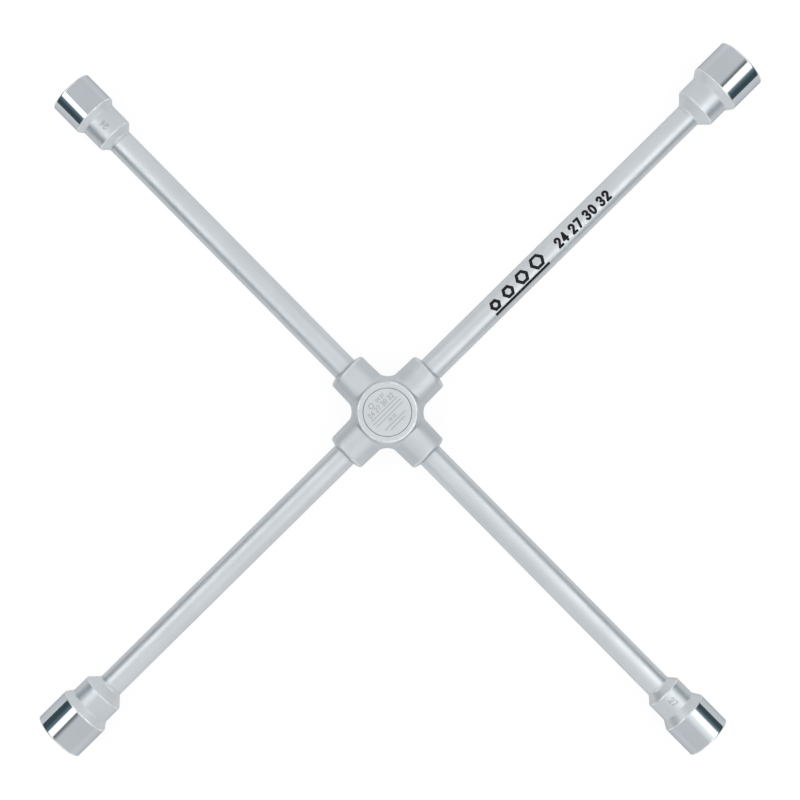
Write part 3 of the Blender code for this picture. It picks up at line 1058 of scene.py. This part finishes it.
def build_print():
    """Four nut outlines of rising size, underlined, and the four sizes in digits, on the longest bar."""
    shape = bmesh.new()
    x = PRINT_START
    for flats in PRINT_NUTS:
        reach = flats / 2 / math.cos(math.radians(30))
        x += reach
        add_ring(shape, flats, PRINT_NUT_WALL, x, flats / 2 + PRINT_NUT_FOOT)
        x += reach + PRINT_NUT_GAP
    x -= PRINT_NUT_GAP
    add_rule(shape, x - PRINT_START, PRINT_RULE_WIDTH, (PRINT_START + x) / 2, PRINT_RULE)
    add_digits(
        shape, "24 27 30 32", PRINT_DIGITS_HEIGHT, PRINT_STROKE, PRINT_DIGITS, PRINT_DIGITS_MIDDLE, PRINT_CELL
    )
    extrude_wrapped(shape, PRINT_LOW, PRINT_HIGH, BAR_RADIUS, PRINT_SLICES)
    mesh = to_mesh("size_print", shape)
    paint(mesh, (INK,), lambda centre, normal: 0)
    finish_piece("size_print", mesh, arm_matrix(ARMS[0]), None)


# ---------------------------------------------------------------- stage

CAMERA_HEIGHT = 1.55
CAMERA_FOOT = (0.0134, -0.0001)
SENSOR_WIDTH = 36.0
LENS = 90.6

UPRIGHT = Vector((0.0, 0.0, 1.0))
WHITE = (1.0, 1.0, 1.0, 1.0)
BLACK = (0.0, 0.0, 0.0, 1.0)
WORLD_GLOW = 0.95
FLOOR_SIZE = 8.0
FLOOR_GAP = 0.1 * MM
FLOOR_GREY = (0.12, 0.12, 0.12, 1.0)
FLOOR_GLOW = 0.89

# The dark cards at the sides, in metres, and their glow from half way up to the top.
DARK_DISTANCE = 0.75
DARK_WIDTH = 1.4
DARK_COLOUR = (0.6, 0.9, 1.0, 1.0)
DARK_GLOW = (0.13, 0.40)

# The soft lights. Each is turned as if it stood AIM_SIDE out, not SOFTBOX_SIDE.
SOFTBOX_SIDE = 0.815
SOFTBOX_HEIGHT = 0.88
AIM_SIDE = 0.47

# The dark inner edges of the soft lights, which fade inwards.
EDGE_SIDE = 0.46
EDGE_HEIGHT = 0.9
EDGE_SIZE = (0.22, 0.5)
EDGE_GLOW = (0.16, 0.95)
EDGE_FADE = (0.09, -0.11)

# The card under the right light's lower half, set along the picture's diagonals.
FILL_AWAY = 0.03
FILL_ASIDE = 0.58
FILL_HEIGHT = 0.86
FILL_SIZE = (0.56, 0.7)
FILL_GLOW = (0.96, 1.75)


def build_camera():
    data = bpy.data.cameras.new("camera")
    data.sensor_width = SENSOR_WIDTH
    data.lens = LENS
    camera = bpy.data.objects.new("camera", data)
    bpy.context.scene.collection.objects.link(camera)
    axes = Matrix((VIEW_RIGHT, VIEW_UP, VIEW_RIGHT.cross(VIEW_UP))).transposed()
    camera.matrix_world = Matrix.Translation((*CAMERA_FOOT, AXIS_HEIGHT + CAMERA_HEIGHT)) @ axes.to_4x4()
    bpy.context.scene.camera = camera


def plane_object(name, width, depth, matrix):
    shape = bmesh.new()
    bmesh.ops.create_grid(shape, x_segments=1, y_segments=1, size=0.5)
    bmesh.ops.scale(shape, vec=(width, depth, 1.0), verts=shape.verts)
    thing = new_object(name, to_mesh(name, shape))
    thing.matrix_world = matrix
    return thing


def build_floor():
    """A plain white light table just under the lowest barrel."""
    low = cad_box[0].z - FLOOR_GAP
    floor = plane_object("floor", FLOOR_SIZE, FLOOR_SIZE, Matrix.Translation((0.0, 0.0, low)))
    nodes = Nodes("floor_white")
    nodes.shader.inputs["Base Color"].default_value = FLOOR_GREY
    nodes.shader.inputs["Roughness"].default_value = 1.0
    nodes.shader.inputs["Specular IOR Level"].default_value = 0.0
    nodes.shader.inputs["Emission Color"].default_value = WHITE
    nodes.shader.inputs["Emission Strength"].default_value = FLOOR_GLOW
    floor.data.materials.append(nodes.material)


def build_card(name, place, axes, size, colour, along, glow, span):
    """A glowing card with those axes, seen only in the metal.

    Its glow goes from the first strength to the second over a span of its own X or Y, as along says.
    """
    facing = Matrix(axes).transposed().to_4x4()
    card = plane_object(name, *size, Matrix.Translation(place) @ facing)
    nodes = Nodes(name + "_glow")
    split = nodes.add("ShaderNodeSeparateXYZ")
    nodes.link(nodes.place(), split.inputs["Vector"])
    nodes.shader.inputs["Base Color"].default_value = BLACK
    nodes.shader.inputs["Specular IOR Level"].default_value = 0.0
    nodes.shader.inputs["Emission Color"].default_value = colour
    nodes.link(nodes.ramp(split.outputs[along], *glow, *span), nodes.shader.inputs["Emission Strength"])
    card.data.materials.append(nodes.material)
    card.visible_camera = False
    card.visible_diffuse = False
    card.visible_shadow = False


def build_dark_card(name, side, height):
    """A dark card at one side of the table, lighter towards its top."""
    place = VIEW_RIGHT * side * DARK_DISTANCE + UPRIGHT * height / 2
    axes = (VIEW_UP, UPRIGHT, VIEW_RIGHT)
    build_card(name, place, axes, (DARK_WIDTH, height), DARK_COLOUR, "Y", DARK_GLOW, (0.0, height / 2))


def build_edge_card(name, side, middle):
    """The dark inner edge of a softbox, seen as a thin line along the polished barrels."""
    place = VIEW_RIGHT * side * EDGE_SIDE + VIEW_UP * middle + UPRIGHT * EDGE_HEIGHT
    span = [side * end for end in EDGE_FADE]
    build_card(name, place, (VIEW_RIGHT, VIEW_UP, UPRIGHT), EDGE_SIZE, WHITE, "X", EDGE_GLOW, span)


def build_fill_card(name):
    """A card that fades from the right softbox's brightness to the room's."""
    away = (VIEW_RIGHT + VIEW_UP).normalized()
    aside = (VIEW_RIGHT - VIEW_UP).normalized()
    place = away * FILL_AWAY + aside * FILL_ASIDE + UPRIGHT * FILL_HEIGHT
    span = (-FILL_SIZE[0] / 2, FILL_SIZE[0] / 2)
    build_card(name, place, (away, -aside, UPRIGHT), FILL_SIZE, WHITE, "X", FILL_GLOW, span)


def build_softbox(name, side, radiance, width, reach_down, reach_up):
    """A long soft light above the dark card, aimed at the wrench. It reaches down and up the picture."""
    length = reach_down + reach_up
    data = bpy.data.lights.new(name, "AREA")
    data.shape = "RECTANGLE"
    data.size = length
    data.size_y = width
    data.energy = radiance * math.pi * length * width
    light = bpy.data.objects.new(name, data)
    bpy.context.scene.collection.objects.link(light)
    height = UPRIGHT * SOFTBOX_HEIGHT
    place = VIEW_RIGHT * side * SOFTBOX_SIDE + VIEW_UP * (reach_up - reach_down) / 2 + height
    back = (VIEW_RIGHT * side * AIM_SIDE + height).normalized()
    axes = Matrix((VIEW_UP, back.cross(VIEW_UP), back)).transposed()
    light.matrix_world = Matrix.Translation(place) @ axes.to_4x4()
    light.visible_camera = False


def build_world():
    world = bpy.data.worlds.new("studio")
    world.use_nodes = True
    background = world.node_tree.nodes["Background"]
    background.inputs["Color"].default_value = WHITE
    background.inputs["Strength"].default_value = WORLD_GLOW
    bpy.context.scene.world = world
    bpy.context.scene.view_settings.view_transform = "Standard"


# ---------------------------------------------------------------- the wrench

build_hub()
build_cover_disc("front_cover_disc", Matrix.Identity(4))
build_cover_disc("rear_cover_disc", Matrix.Rotation(math.pi, 4, "X"))
for arm in ARMS:
    build_bar(arm)
    build_head(arm)
    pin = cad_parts["locking_pin_" + arm.label]
    pin.data.materials.clear()
    pin.data.materials.append(PIN_STEEL)
build_print()

build_world()
build_floor()
build_dark_card("left_card", -1.0, 0.52)
build_dark_card("right_card", 1.0, 0.46)
build_softbox("left_softbox", -1.0, 1.7, 0.36, 0.5, 0.6)
build_softbox("right_softbox", 1.0, 1.7, 0.38, 0.75, 0.6)
build_fill_card("fill_card")
build_edge_card("left_frame", -1.0, -0.3)
build_edge_card("right_frame", 1.0, 0.3)
build_camera()
